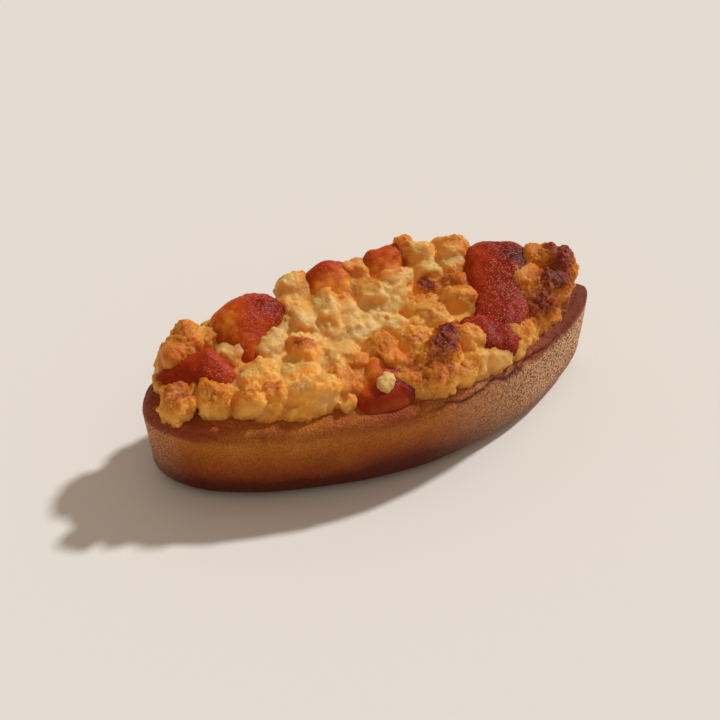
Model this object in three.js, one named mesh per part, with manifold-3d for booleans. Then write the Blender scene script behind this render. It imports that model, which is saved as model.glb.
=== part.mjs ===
// A small boat-shaped almond cake, baked in a mould, topped with pieces of apricot and a butter crumble.
// Millimetres, +Z up. The origin is under the middle of the cake, on the surface that it stands on.
// +X runs along the cake to its sharper end, and -Y is the side that the long apricot piece slopes down to.
import * as THREE from "three";
import { mergeVertices } from "three/addons/utils/BufferGeometryUtils.js";
import Module from "manifold-3d";

// Cake: the boat outline of its rim, the wall that the mould gives it and the crown that it rises to
const LENGTH = 100;
const WIDTH = 44;
const RIM_HEIGHT = 18;
const FULLNESS = 1.85;
const BLUNT_END = 0.52;
const SHARP_END = 0.8;
const WALL_DRAFT = 1;
const FOOT_RADIUS = 3.2;
const LIP = 0.5;
const CROWN_RISE = 2.2;
const SHOULDER = 2.6;

// Bed of crumble on the crown: it starts inside the rim, and it is deeper at the back and at the sharp end
const BED_EDGE = 2.5;
const BED_SLOPE = 4;
const BED_DEPTH = 2;
const BACK_RISE = 5;
const BACK_START = 3;
const BACK_END = 14;
const END_START = 25;
const END_LEAN = 0.6;

// Small crumbs between the big ones, a row of crumbs along the back edge, and the gap between touching pieces
const SMALL_CRUMB = 4.5;
const SMALL_CRUMB_RISE = 1.6;
const SMALL_CRUMB_TRIES = 80;
const EDGE_CRUMB = 7;
const EDGE_CRUMB_RISE = 3.5;
const EDGE_CRUMB_INSET = 4;
const EDGE_CRUMB_REACH = 33;
const GAP = 0.3;

// Crumbs aren't round: a higher power is blockier, and the surface of each one wavers
const CRUMB_POWER = 2.7;
const CRUMB_WAVER = 0.09;
const FRUIT_POWER = 2.3;
const FRUIT_WAVER = 0.04;
const WAVES_ROUND = 3;
const CRUMB_WAIST = 0.25;

// Facets
const AROUND = 60;
const FOOT_STEPS = 4;
const CROWN_STEPS = 6;
const CRUMB_DETAIL = 1;
const SMALL_CRUMB_DETAIL = 0;
const FRUIT_DETAIL = 2;

// Big crumbs, a row each: along, across, height of the top, length, width, turn in degrees
const CRUMBS = [
  // back row, from the blunt end
  [-39.5, 7.5, 28, 9.5, 8, 40],
  [-36.5, 10.5, 30, 6, 5.5, 30],
  [-12, 15.5, 29, 8, 7, 0],
  [2.5, 15, 28.5, 5, 6, 0],
  [13.5, 16, 31, 6, 6, 0],
  [18, 14.5, 29.5, 5.5, 5.5, 0],
  [23.5, 12.5, 30, 8, 6, -25],
  // behind the middle
  [-30, 3.5, 26, 6, 6, 0],
  [-22.5, 3, 25.5, 8, 7, 0],
  [-13.5, 9, 26, 7, 8, 0],
  [-7, 9, 26, 6, 8, 0],
  [5, 10.5, 26.5, 13, 8, 0],
  [14, 8.5, 27, 3.5, 3.5, 0],
  [20, 5, 27.5, 9, 8, 0],
  [11, 3, 25, 8, 6, 20],
  // the middle
  [-14.5, 2, 26.5, 6, 6.5, 0],
  [-6, 1, 24.5, 12, 5, 15],
  [4, -1, 24.5, 8, 5, 0],
  [12.5, -1.5, 25.5, 6, 6, 0],
  [-27, -4, 25, 8, 7, 0],
  [-18.5, -4.5, 25, 7, 7, 0],
  [-10.5, -5.5, 24.5, 9, 8, 0],
  [-1.5, -6.5, 25.5, 6.5, 6.5, 0],
  [5.5, -7, 25.5, 7, 7, 0],
  [13, -6.5, 27, 5.5, 5.5, 0],
  [17, -9.5, 26, 5.5, 7, 0],
  // front row, from the blunt end
  [-44.5, -3.5, 24.5, 7, 6.5, 70],
  [-38, -8, 24, 8, 6, -20],
  [-31, -10, 24.5, 7.5, 7, 0],
  [-25.5, -12, 25, 7, 6.5, 0],
  [-18.5, -13, 25, 9, 8, 0],
  [-12.5, -11.5, 24, 6, 7, 0],
  [-12.5, -17, 21.5, 4, 3, 0],
  [5.5, -15.5, 24.5, 11, 7.5, 0],
  [8.5, -12, 26, 6, 6, 0],
  [16, -15, 23.5, 7, 5, 15],
  [27, -12.5, 24.5, 10, 5, 30],
  // sharp end
  [36.5, 0.5, 27.5, 9, 9, 0],
  [36, -6.5, 24, 8, 5.5, 30],
  [40, 4.5, 30, 6, 5.5, 0],
  [44, 1.5, 29, 5, 5.5, 0],
  [42.5, -2.5, 26.5, 6.5, 6.5, 0],
];

// Apricot pieces: the lumps that each one is made of, with the same columns as a crumb
const APRICOTS = {
  apricot_left_back: [[-24, 10.5, 30, 17.5, 12.5, 10]],
  apricot_left_front: [[-37.5, 1.5, 25.5, 13, 9, -20], [-35, -3, 24, 7, 7, 0]],
  apricot_back_middle: [[-4, 16.5, 29.5, 10.5, 8, 0]],
  apricot_back_right: [[8.5, 16.5, 30, 10, 7.5, 0]],
  apricot_right: [[31, 5.5, 29.5, 12, 14, -20], [28, -1, 27.5, 10, 11, 0], [24, -8, 25.5, 9, 13, -25]],
  apricot_front: [[-5.5, -15.5, 22.5, 12, 8.5, 0]],
};

// The crumb that has stuck to one of them, with the same columns
const STUCK_TO = "apricot_front";
const STUCK_CRUMB = [-5, -15, 23.6, 4, 4, 20];

const CAKE_LOOK = { color: "#b0702f", roughness: 0.75, metalness: 0 };
const CRUMBLE_LOOK = { color: "#dcae68", roughness: 0.9, metalness: 0 };
const APRICOT_LOOK = { color: "#a33c17", roughness: 0.35, metalness: 0 };

const wasm = await Module();
wasm.setup();

// A closed geometry as a solid that can be joined and cut
function solidOf(geometry) {
  geometry.deleteAttribute("normal");
  geometry.deleteAttribute("uv");
  const merged = mergeVertices(geometry);
  const vertProperties = merged.getAttribute("position").array;
  const triVerts = Uint32Array.from(merged.getIndex().array);
  return new wasm.Manifold(new wasm.Mesh({ numProp: 3, vertProperties, triVerts }));
}

// The largest body of a solid: loose scraps go, and hollows sealed inside it are filled
function mainBody(solid) {
  const bodies = solid.decompose();
  return bodies.reduce((main, body) => (body.volume() > main.volume() ? body : main));
}

// A solid as a named mesh
function meshOf(name, solid, look) {
  const surface = solid.getMesh();
  const geometry = new THREE.BufferGeometry();
  geometry.setAttribute("position", new THREE.BufferAttribute(surface.vertProperties, 3));
  geometry.setIndex(new THREE.BufferAttribute(surface.triVerts, 1));
  geometry.computeVertexNormals();
  const mesh = new THREE.Mesh(geometry, new THREE.MeshStandardMaterial(look));
  mesh.name = name;
  return mesh;
}

// Half the width of the rim's boat outline at a place along it: it is blunter at the -X end
function halfWidth(along) {
  const sharpness = along < 0 ? BLUNT_END : SHARP_END;
  const share = Math.min(1, Math.abs((2 * along) / LENGTH));
  return (WIDTH / 2) * (1 - share ** FULLNESS) ** sharpness;
}

// A profile of [inset from the rim's outline, height, share of the lift] rows, carried round the boat outline.
// It starts and ends at an inset of half the width, where the outline has closed up to a line.
// The lift is a height that depends on the place.
function boatLathe(profile, lift = () => 0) {
  const points = profile.map(([inset, height]) => new THREE.Vector2(WIDTH / 2 - inset, height));
  const geometry = new THREE.LatheGeometry(points, AROUND);
  const position = geometry.getAttribute("position");
  for (let i = 0; i < position.count; i += 1) {
    const step = Math.floor(i / profile.length);
    const turned = Math.cos((2 * Math.PI * Math.min(step, AROUND - step)) / AROUND);
    const side = step <= AROUND / 2 ? 1 : -1;
    const [inset, height, share = 0] = profile[i % profile.length];
    const along = (LENGTH / 2 - inset) * turned;
    const across = side * halfWidth((turned * LENGTH) / 2) * (1 - inset / (WIDTH / 2));
    position.setXYZ(i, along, across, height + share * lift(along, across));
  }
  return solidOf(geometry);
}

// The cake's top rises quickly inside the rim and is nearly flat in the middle
function crownHeight(inset) {
  return RIM_HEIGHT + CROWN_RISE * (1 - Math.exp(-inset / SHOULDER));
}

// Profile of the crown from an inset to the middle, raised by a height. The steps grow towards the middle.
function crownProfile(start, raise) {
  const profile = [];
  for (let k = 0; k <= CROWN_STEPS; k += 1) {
    const inset = start + (WIDTH / 2 - start) * (k / CROWN_STEPS) ** 2;
    profile.push([inset, crownHeight(inset) + raise]);
  }
  return profile;
}

// How deep the bed of crumble is at a place well inside the rim
function bedDepth(along, across) {
  const back = across + END_LEAN * Math.max(0, along - END_START);
  return BED_DEPTH + BACK_RISE * THREE.MathUtils.smoothstep(back, BACK_START, BACK_END);
}

// The share of that depth that the bed has reached at an inset from the rim
function bedShare(inset) {
  return THREE.MathUtils.smoothstep(inset, BED_EDGE, BED_EDGE + BED_SLOPE);
}

// Height of the bed at a place
function bedHeight(along, across) {
  const inset = Math.max(0, halfWidth(along) - Math.abs(across));
  return crownHeight(inset) + bedShare(inset) * bedDepth(along, across);
}

// The sponge: flat underneath, a round foot, a wall that leans out to the rim, and the crown
function makeCake() {
  const profile = [[WIDTH / 2, 0]];
  for (let k = 0; k <= FOOT_STEPS; k += 1) {
    const angle = (Math.PI / 2) * (k / FOOT_STEPS);
    const inset = WALL_DRAFT + FOOT_RADIUS * (1 - Math.sin(angle));
    profile.push([inset, FOOT_RADIUS * (1 - Math.cos(angle))]);
  }
  profile.push([0, RIM_HEIGHT - LIP]);
  return boatLathe([...profile, ...crownProfile(LIP, 0)]);
}

// What the cake takes up with the gap round it: the topping is cut by this
function makeCakeRoom() {
  const below = RIM_HEIGHT / 2;
  return boatLathe([[WIDTH / 2, below], [-GAP, below], [-GAP, RIM_HEIGHT], ...crownProfile(LIP, GAP)]);
}

// A lump from one height to another. Its surface is a rounded block, and it wavers.
function lump([along, across, top, length, width, turn], bottom, detail, power, waver, grow = 0) {
  const geometry = new THREE.IcosahedronGeometry(1, detail);
  const position = geometry.getAttribute("position");
  const direction = new THREE.Vector3();
  for (let i = 0; i < position.count; i += 1) {
    direction.fromBufferAttribute(position, i);
    const { x, y, z } = direction;
    const block = (Math.abs(x) ** power + Math.abs(y) ** power + Math.abs(z) ** power) ** (-1 / power);
    const waveAlong = Math.sin(WAVES_ROUND * x + along);
    const waveAcross = Math.sin(WAVES_ROUND * y + across);
    const waveUp = Math.cos(WAVES_ROUND * z + top);
    direction.multiplyScalar(block * (1 + waver * (waveAlong + waveAcross + waveUp)));
    position.setXYZ(i, direction.x, direction.y, direction.z);
  }
  const height = top - bottom;
  geometry.scale(length / 2 + grow, width / 2 + grow, height / 2 + grow);
  geometry.rotateZ(THREE.MathUtils.degToRad(turn));
  geometry.translate(along, across, bottom + height / 2);
  return solidOf(geometry);
}

// A crumb on the bed: it is widest a little above the bed, and the rest of it is sunk
function crumb(row, detail, grow = 0) {
  const [along, across, top] = row;
  const bed = bedHeight(along, across);
  const waist = bed + CRUMB_WAIST * (top - bed);
  return lump(row, 2 * waist - top, detail, CRUMB_POWER, CRUMB_WAVER, grow);
}

// Lumps joined to one solid
function join(solids) {
  return solids.reduce((joined, solid) => joined.add(solid));
}

// An apricot piece that reaches down to the cake, or the room that it takes up when it is grown by the gap.
// One of them has a crumb stuck to it.
function makeApricot(name, grow = 0) {
  const shape = [FRUIT_DETAIL, FRUIT_POWER, FRUIT_WAVER, grow];
  const lumps = APRICOTS[name].map((row) => lump(row, RIM_HEIGHT, ...shape));
  if (name === STUCK_TO) lumps.push(crumb(STUCK_CRUMB, CRUMB_DETAIL, grow));
  return join(lumps);
}

// Small crumbs spread evenly over the bed by the golden-ratio rule for two directions, clear of the big ones
function smallCrumbs() {
  const plastic = 1.324717957;
  const rows = [];
  for (let n = 1; n <= SMALL_CRUMB_TRIES; n += 1) {
    const along = (((n / plastic) % 1) - 0.5) * (LENGTH - 4 * BED_EDGE);
    const across = (((n / plastic ** 2) % 1) - 0.5) * WIDTH;
    const inRim = halfWidth(along) - Math.abs(across) > BED_EDGE + SMALL_CRUMB / 2;
    const covered = CRUMBS.some(([x, y, , length, width]) => {
      return Math.hypot(along - x, across - y) < (length + width) / 4;
    });
    if (!inRim || covered) continue;
    const top = bedHeight(along, across) + SMALL_CRUMB_RISE;
    rows.push([along, across, top, SMALL_CRUMB, SMALL_CRUMB, n]);
  }
  return rows;
}

// Crumbs side by side along the back edge, each one turned to follow the rim
function edgeCrumbs() {
  const rows = [];
  for (let along = -EDGE_CRUMB_REACH; along <= EDGE_CRUMB_REACH; along += EDGE_CRUMB - 1) {
    const across = halfWidth(along) - EDGE_CRUMB_INSET;
    const slope = halfWidth(along + 1) - halfWidth(along);
    const top = bedHeight(along, across) + EDGE_CRUMB_RISE;
    const turn = THREE.MathUtils.radToDeg(Math.atan(slope));
    rows.push([along, across, top, EDGE_CRUMB, EDGE_CRUMB - 1, turn]);
  }
  return rows;
}

// The bed: flat below, where the cake's room is cut from it, and rising from its edge to its full depth
function makeBed() {
  const below = [[WIDTH / 2, RIM_HEIGHT], [BED_EDGE, RIM_HEIGHT]];
  const above = crownProfile(BED_EDGE, 0).map(([inset, height]) => [inset, height, bedShare(inset)]);
  return boatLathe([...below, ...above], bedDepth);
}

// The crumble: its bed and all its crumbs, fused, standing clear of the cake and the apricots
function makeCrumble(cakeRoom, apricotRooms) {
  const big = [...CRUMBS, ...edgeCrumbs()].map((row) => crumb(row, CRUMB_DETAIL));
  const small = smallCrumbs().map((row) => crumb(row, SMALL_CRUMB_DETAIL));
  const heap = join([makeBed(), ...big, ...small]).subtract(cakeRoom);
  return mainBody(apricotRooms.reduce((left, room) => left.subtract(room), heap));
}

const cakeRoom = makeCakeRoom();
const apricotNames = Object.keys(APRICOTS);
const apricotRooms = apricotNames.map((name) => makeApricot(name, GAP));

const group = new THREE.Group();
group.add(meshOf("cake", makeCake(), CAKE_LOOK));
group.add(meshOf("crumble", makeCrumble(cakeRoom, apricotRooms), CRUMBLE_LOOK));
for (const name of apricotNames) {
  group.add(meshOf(name, mainBody(makeApricot(name).subtract(cakeRoom)), APRICOT_LOOK));
}

export default group;
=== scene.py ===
"""A small boat-shaped almond cake, baked in a tin, with pieces of apricot and a butter crumble on top."""

import bmesh
import bpy
import numpy as np
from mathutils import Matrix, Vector


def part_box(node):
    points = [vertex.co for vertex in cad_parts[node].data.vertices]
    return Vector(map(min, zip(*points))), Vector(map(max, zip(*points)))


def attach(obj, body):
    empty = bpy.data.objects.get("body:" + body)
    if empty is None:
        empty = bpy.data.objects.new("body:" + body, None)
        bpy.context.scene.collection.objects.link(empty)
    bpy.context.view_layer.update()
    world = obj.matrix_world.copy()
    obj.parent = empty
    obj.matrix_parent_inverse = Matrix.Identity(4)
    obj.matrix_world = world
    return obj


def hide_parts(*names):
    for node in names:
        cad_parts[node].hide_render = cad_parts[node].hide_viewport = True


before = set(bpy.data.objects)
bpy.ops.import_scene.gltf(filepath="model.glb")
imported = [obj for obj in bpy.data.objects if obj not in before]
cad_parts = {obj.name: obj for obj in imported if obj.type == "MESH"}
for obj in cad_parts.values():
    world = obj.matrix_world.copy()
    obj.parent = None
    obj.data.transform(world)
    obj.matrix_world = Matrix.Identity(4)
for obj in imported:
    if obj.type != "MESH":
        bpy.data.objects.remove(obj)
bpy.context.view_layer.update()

# The cake
# An almond sponge baked in a boat-shaped tin. The tin gives it a wall with fine pores that is browned
# darkest at the foot and the rim, and the batter has risen to a low crown that the topping covers.
# Sizes are in millimetres, which MM turns into the metres of the frame.
MM = 0.001
cake_low, cake_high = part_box("cake")
LENGTH = (cake_high.x - cake_low.x) / MM
WIDTH = (cake_high.y - cake_low.y) / MM
CROWN_RISE = 2.2
RIM_HEIGHT = cake_high.z / MM - CROWN_RISE
FULLNESS = 1.85
BLUNT_POWER = 0.52
SHARP_POWER = 0.8
OUTLINE_SAMPLES = 8001
WALL_DRAFT = 1.0
FOOT_RADIUS = 5.0
SHOULDER = 2.6
EDGE_IN = 2.6
EDGE_UP = 3.2
EDGE_DROP = 2.2
BLUNT_RISE = 0.9
SHARP_RISE = 1.8
BASE_STEPS = 6
FOOT_STEPS = 18
WALL_STEPS = 48
EDGE_STEPS = 12
CROWN_STEPS = 18
ROUND_STEPS = 880
WELD_DISTANCE = 0.0005

# Where along the cake the fruit on its front edge lies
FRONT_FRUIT = -5

# Pores and holes: the gap between them, their radius as a share of it, and their depth
PORE_GAP = 0.8
PORE_RADIUS = 0.5
PORE_DEPTH = 0.14
HOLE_GAP = 3.1
HOLE_RADIUS = 0.17
HOLE_DEPTH = 0.4

# The crack's line below the rim, and the height where the relief of the wall is full
CRACK_DROP = 0.5
CRACK_WIDTH = 0.35
CRACK_DEPTH = 0.3
RELIEF_FULL = 2.0

# Layers of soft noise: strength, size of the lumps, seed
WALL_LUMPS = [(0.2, 10, 15), (0.1, 3, 16)]
RIM_LUMPS = [(0.25, 3, 17), (0.1, 1.2, 18)]
CRACK_WAVER = [(0.7, 6, 13), (0.5, 1.1, 19)]

# How browned the wall is, how much more at the foot and on the rim, and how much less below the rim
WALL_BROWN = 0.34
FOOT_MORE = 0.58
RIM_MORE = 0.3
UPPER_LESS = 0.22

# Stretches over which the cake changes: heights, and places along it, counted outwards for the blunt end
FOOT_ZONE = (1.5, 10.5)
UPPER_ZONE = (9, 16)
RIM_ZONE = (RIM_HEIGHT - 2.2, RIM_HEIGHT - 0.4)
LIFTED_ZONE = (8, RIM_HEIGHT)
BLUNT_LIFT = (34, 48)
SHARP_LIFT = (40, 50)
BLUNT_RIM = (33, 49)
SHARP_RIM = (8, 34)
BLUNT_WALL = (43, 51)
SHARP_WALL = (0, 36)
PALE_FOOT = (5, 35)
CRACK_SHOWN = (-4, 12)
DARK_RIM = (28, 42)


def smooth(value, low, high):
    """A step from 0 at low to 1 at high with soft ends: 3 t squared less 2 t cubed."""
    share = np.clip((value - low) / (high - low), 0, 1)
    return share * share * (3 - 2 * share)


def random_at(cells, seed):
    """Whole random numbers for the cells of a grid: their three counts and the seed, mixed by odd factors."""
    mixed = (cells @ np.array([374761393, 668265263, 1440662683]) + seed * 974634777) & 0xFFFFFFFF
    mixed = ((mixed ^ (mixed >> 15)) * 2246822519) & 0xFFFFFFFF
    mixed = ((mixed ^ (mixed >> 13)) * 3266489917) & 0xFFFFFFFF
    return mixed ^ (mixed >> 16)


def soft_noise(points, size, seed):
    """Smooth noise from -1 to 1 with lumps of a size: random values at the corners of a cubic grid, blended
    by the share of the way from one to the next, with soft ends."""
    place = points / size
    cell = np.floor(place).astype(np.int64)
    part = place - cell
    part = part * part * (3 - 2 * part)
    total = 0
    for corner in np.ndindex(2, 2, 2):
        weight = np.prod(np.where(corner, part, 1 - part), axis=-1)
        total = total + weight * (random_at(cell + corner, seed) / 0xFFFFFFFF)
    return 2 * total - 1


def random_shares(cells, seed):
    """Three random shares from 0 to 1 for each cell: three stretches of ten bits of its random number."""
    return ((random_at(cells, seed)[:, None] >> np.array([0, 10, 20])) & 1023) / 1023


def cells_round(place):
    """The 27 cells of a cubic grid round each place, one after the other."""
    cell = np.floor(place).astype(np.int64)
    for step in np.ndindex(3, 3, 3):
        yield cell + np.array(step) - 1


def grain_distance(points, size, seed):
    """Distance, in sizes, to the nearest of the random points that lie one in each cell of a cubic grid."""
    place = points / size
    nearest = np.full(len(points), np.inf)
    for cells in cells_round(place):
        away = cells + random_shares(cells, seed) - place
        nearest = np.minimum(nearest, np.sum(away ** 2, axis=-1))
    return np.sqrt(nearest)


def noise_layers(points, layers):
    """Soft noise of several sizes added up: each layer has a strength, a size of its lumps and a seed."""
    return sum(strength * soft_noise(points, size, seed) for strength, size, seed in layers)


def half_width(along):
    """Half the rim's width at a place along it: one less a power of the place's share of the half length, all
    to a power that sets how sharp the end is."""
    share = np.minimum(1, np.abs(2 * along / LENGTH))
    sharpness = np.where(along < 0, BLUNT_POWER, SHARP_POWER)
    return WIDTH / 2 * (1 - share ** FULLNESS) ** sharpness


def crown_height(inset):
    """Height of the cake's top at an inset from the rim: the rim's height and the crown's rise, of which the
    missing part dies away as a power of e."""
    return RIM_HEIGHT + CROWN_RISE * (1 - np.exp(-np.maximum(inset, 0) / SHOULDER))


def even_turns(count):
    """Angles round the boat outline that are equally far apart along it, read off its summed length."""
    turn = np.linspace(0, 2 * np.pi, OUTLINE_SAMPLES)
    along = LENGTH / 2 * np.cos(turn)
    across = half_width(along) * np.sign(np.sin(turn))
    length = np.concatenate([[0], np.cumsum(np.hypot(np.diff(along), np.diff(across)))])
    return np.interp(np.arange(count) / count * length[-1], length, turn)


def boat_rings(inset, height, turns):
    """A profile carried round the boat: at each turn the rim's point moves in on both axes by the inset."""
    turned = np.cos(turns)[None, :]
    side = np.sign(np.sin(turns))[None, :]
    inset = inset[:, None]
    along = (LENGTH / 2 - inset) * turned
    across = side * half_width(LENGTH / 2 * turned) * (1 - inset / (WIDTH / 2))
    return np.stack([along, across, np.broadcast_to(height[:, None], along.shape)], axis=-1)


def ring_quads(rows, columns):
    """Faces between neighbouring rings, row by row, closed round the columns."""
    low = np.arange(rows - 1)[:, None] * columns
    here = np.arange(columns)[None, :]
    after = (here + 1) % columns
    return np.stack([low + here, low + after, low + columns + after, low + columns + here], -1).reshape(-1, 4)


def ring_normals(points):
    """Outward normals of rings of points: the step round crossed with the step up."""
    around = np.roll(points, -1, axis=1) - np.roll(points, 1, axis=1)
    normal = np.cross(around, np.gradient(points, axis=0))
    return normal / (np.linalg.norm(normal, axis=-1, keepdims=True) + 1e-9)


def put_mesh(name, points, faces):
    """An object with a smooth-shaded mesh from points in millimetres and faces."""
    mesh = bpy.data.meshes.new(name)
    mesh.from_pydata(points * MM, [], faces)
    mesh.update()
    mesh.shade_smooth()
    piece = bpy.data.objects.new(name, mesh)
    bpy.context.scene.collection.objects.link(piece)
    return piece


def put_value(piece, name, values):
    """A number for each point of a piece that its material reads."""
    layer = piece.data.attributes.new(name, "FLOAT", "POINT")
    layer.data.foreach_set("value", values.astype(np.float32))


def skin_of(piece):
    """A piece's points in millimetres and its normals."""
    points = np.empty(len(piece.data.vertices) * 3, np.float32)
    normals = np.empty(len(piece.data.vertices) * 3, np.float32)
    piece.data.vertices.foreach_get("co", points)
    piece.data.vertex_normals.foreach_get("vector", normals)
    return points.reshape(-1, 3).astype(float) / MM, normals.reshape(-1, 3).astype(float)


def colour(code):
    """The linear colour of an sRGB hex code."""
    parts = np.array([int(code[k:k + 2], 16) for k in (1, 3, 5)]) / 255
    linear = np.where(parts <= 0.04045, parts / 12.92, ((parts + 0.055) / 1.055) ** 2.4)
    return (*linear.tolist(), 1.0)


def add(tree, kind, inputs=(), stops=(), **settings):
    """Adds a node: settings are its properties, stops a ramp's places and colours, and inputs pair a socket
    with a value or with the output that is linked to it."""
    node = tree.nodes.new(kind)
    for name, value in settings.items():
        setattr(node, name, value)
    for number, (place, code) in enumerate(stops):
        ramp = node.color_ramp.elements
        stop = ramp[number] if number < 2 else ramp.new(place)
        stop.position = place
        stop.color = colour(code)
    for socket, value in inputs:
        if isinstance(value, bpy.types.NodeSocket):
            tree.links.new(value, node.inputs[socket])
        else:
            node.inputs[socket].default_value = value
    return node


def new_material(name):
    """An empty material with its node tree."""
    material = bpy.data.materials.new(name)
    material.use_nodes = True
    material.node_tree.nodes.clear()
    return material, material.node_tree


def attribute(tree, name):
    """The output of a node that reads the values of a piece's points."""
    return add(tree, "ShaderNodeAttribute", attribute_name=name).outputs["Fac"]


def noise(tree, place, size, detail):
    """The output of a noise node with lumps of a size in millimetres: its scale is one over the size."""
    inputs = [("Vector", place), ("Scale", 1 / (size * MM)), ("Detail", detail)]
    return add(tree, "ShaderNodeTexNoise", inputs).outputs["Fac"]


def ranged(tree, value, from_low, from_high, to_low=0.0, to_high=1.0):
    """The output of a node that carries a value from one range over to another and keeps it in there."""
    inputs = [("Value", value), ("From Min", from_low), ("From Max", from_high)]
    return add(tree, "ShaderNodeMapRange", inputs + [("To Min", to_low), ("To Max", to_high)]).outputs[0]


def computed(tree, operation, *values, clamped=False):
    """The output of a node that works out a number from others, kept between 0 and 1 if it is clamped."""
    return add(tree, "ShaderNodeMath", enumerate(values), operation=operation, use_clamp=clamped).outputs[0]


def ramped(tree, value, stops):
    """The colour that a value has on a ramp: its first stop, its last one, and then those between."""
    return add(tree, "ShaderNodeValToRGB", [("Fac", value)], stops=stops).outputs["Color"]


def painted(tree, share, under, code):
    """A colour with that of a code laid over it: the sum of the two, weighted by the share."""
    inputs = [("Factor", share), (6, under), (7, colour(code))]
    return add(tree, "ShaderNodeMix", inputs, data_type="RGBA").outputs[2]


def surface(tree, inputs):
    """Ends a material with a shader that has these inputs."""
    shader = add(tree, "ShaderNodeBsdfPrincipled", inputs)
    add(tree, "ShaderNodeOutputMaterial", [("Surface", shader.outputs["BSDF"])])


def crack_at(points):
    """How much a place lies in the crack below the rim: a bell curve of its height over a jagged line, times
    soft noise that lets the crack fade out here and there."""
    round_the_rim = points * [1, 1, 0]
    line = RIM_HEIGHT - CRACK_DROP + noise_layers(round_the_rim, CRACK_WAVER)
    shown = smooth(soft_noise(round_the_rim, 9, 14), -0.5, 0.2)
    return np.exp(-((points[:, 2] - line) / CRACK_WIDTH) ** 2) * shown


foot_turn = np.linspace(0, np.pi / 2, FOOT_STEPS)
rim_turn = np.linspace(0, np.pi / 2, EDGE_STEPS)
edge_height = RIM_HEIGHT - EDGE_DROP
crown_inset = EDGE_IN + (WIDTH / 2 - EDGE_IN) * np.linspace(0, 1, CROWN_STEPS)[1:] ** 2
crown_share = 1 - np.exp((EDGE_IN - crown_inset) / SHOULDER)
cake_inset = np.concatenate([
    np.linspace(WIDTH / 2, WALL_DRAFT + FOOT_RADIUS, BASE_STEPS)[:-1],
    WALL_DRAFT + FOOT_RADIUS * (1 - np.sin(foot_turn)),
    np.linspace(WALL_DRAFT, 0, WALL_STEPS)[1:-1],
    EDGE_IN * (1 - np.cos(rim_turn)),
    crown_inset,
])
cake_height = np.concatenate([
    np.zeros(BASE_STEPS - 1),
    FOOT_RADIUS * (1 - np.cos(foot_turn)),
    np.linspace(FOOT_RADIUS, edge_height, WALL_STEPS)[1:-1],
    edge_height + EDGE_UP * np.sin(rim_turn),
    edge_height + EDGE_UP + (CROWN_RISE - EDGE_UP + EDGE_DROP) * crown_share,
])
cake_rings = boat_rings(cake_inset, cake_height, even_turns(ROUND_STEPS))
cake_normals = ring_normals(cake_rings).reshape(-1, 3)
cake_points = cake_rings.reshape(-1, 3)

# Relief: low lumps, pores, a few larger holes, an uneven rim and the crack, fading out at the table
off_floor = smooth(cake_points[:, 2], 0.05, RELIEF_FULL)
near_rim = np.exp(-((cake_points[:, 2] - RIM_HEIGHT + 0.6) / 1.1) ** 2)
pores = np.clip(1 - grain_distance(cake_points, PORE_GAP, 11) / PORE_RADIUS, 0, 1)
holes = np.clip(1 - grain_distance(cake_points, HOLE_GAP, 12) / HOLE_RADIUS, 0, 1)
relief = noise_layers(cake_points, WALL_LUMPS) - PORE_DEPTH * pores - HOLE_DEPTH * holes
relief += near_rim * noise_layers(cake_points, RIM_LUMPS)
relief -= CRACK_DEPTH * crack_at(cake_points)
cake_points = cake_points + cake_normals * (relief * off_floor)[:, None]
end_rise = BLUNT_RISE * smooth(-cake_points[:, 0], *BLUNT_LIFT)
end_rise += SHARP_RISE * smooth(cake_points[:, 0], *SHARP_LIFT)
cake_points[:, 2] += end_rise * smooth(cake_points[:, 2], *LIFTED_ZONE)
cake = put_mesh("cake_sponge", cake_points, ring_quads(len(cake_inset), ROUND_STEPS))

# The rings close to a line below and on top, so the points that meet there become one
welded = bmesh.new()
welded.from_mesh(cake.data)
bmesh.ops.remove_doubles(welded, verts=welded.verts, dist=WELD_DISTANCE * MM)
welded.to_mesh(cake.data)
welded.free()
cake_points = skin_of(cake)[0]
wall_along, wall_across, wall_height = cake_points.T

# Browning: darkest at the foot, dark on the rim at the two ends, and palest below the rim
at_ends = np.maximum(smooth(-wall_along, *BLUNT_RIM), smooth(wall_along, *SHARP_RIM))
rim_zone = smooth(wall_height + 0.5 * soft_noise(cake_points, 2.5, 22), *RIM_ZONE)
rim_brown = rim_zone * at_ends
foot_brown = 1 - smooth(wall_height + 1.2 * soft_noise(cake_points, 7, 21), *FOOT_ZONE)
foot_brown *= 1 - 0.25 * smooth(wall_along, *PALE_FOOT)
wall_brown = WALL_BROWN + FOOT_MORE * foot_brown + RIM_MORE * rim_brown
wall_brown -= UPPER_LESS * smooth(wall_height, *UPPER_ZONE) * (1 - rim_brown)
put_value(cake, "browning", np.clip(wall_brown + 0.06 * soft_noise(cake_points, 5, 23), 0, 1))

# The crack is darkened with painted shade towards the sharp end, the rim there is darker in its own colour,
# and juice has stained the rim and the wall under the front fruit
crack_shade_painted = crack_at(cake_points) * smooth(wall_along, *CRACK_SHOWN)
put_value(cake, "crack", np.maximum(crack_shade_painted, 0.5 * rim_zone * smooth(wall_along, *DARK_RIM)))
juice_near = np.exp(-((wall_along - FRONT_FRUIT) / 8) ** 2 - ((wall_height - RIM_HEIGHT - 1) / 3.5) ** 2)
juice_near *= smooth(-wall_across, 5, 10)
rim_stain = 0.5 * rim_zone * smooth(soft_noise(cake_points, 3, 24), -0.6, 0.6)
put_value(cake, "glaze", np.maximum.reduce([0.85 * rim_brown, 0.95 * juice_near, rim_stain]))

# The walls of the two ends are paler and pinker, the sharp end most
blunt_wall = smooth(1.5 * soft_noise(cake_points, 5, 25) - wall_along, *BLUNT_WALL)
end_wall = np.maximum(smooth(wall_along, *SHARP_WALL), 0.6 * blunt_wall)
put_value(cake, "pale_end_share", end_wall * (1 - 0.8 * rim_brown) * (1 - 0.6 * foot_brown))
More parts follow.
